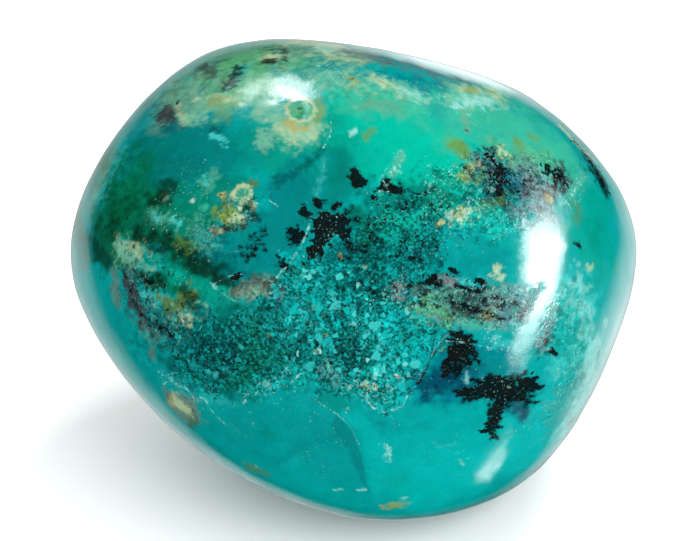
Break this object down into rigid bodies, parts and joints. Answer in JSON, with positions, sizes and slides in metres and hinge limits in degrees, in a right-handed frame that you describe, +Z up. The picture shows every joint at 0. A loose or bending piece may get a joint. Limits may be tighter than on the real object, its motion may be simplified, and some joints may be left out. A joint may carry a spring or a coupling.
{
  "type": "polished chrysocolla stone",
  "caption": "Tumbled and polished chrysocolla: a smooth rounded block of blue-green stone with black dendrites, resting on a small worn flat.",
  "frame": {"origin": "middle of the stone's footprint, on the surface that it lies on", "axes": "+Z up, +X along the stone's length towards its broader shoulder, -Y towards the show face"},
  "size_m": [0.032, 0.0256, 0.0256],
  "materials": {
    "chrysocolla": "polished"
  },
  "bodies": {
    "root": {"stone": "chrysocolla"}
  },
  "joints": []
}
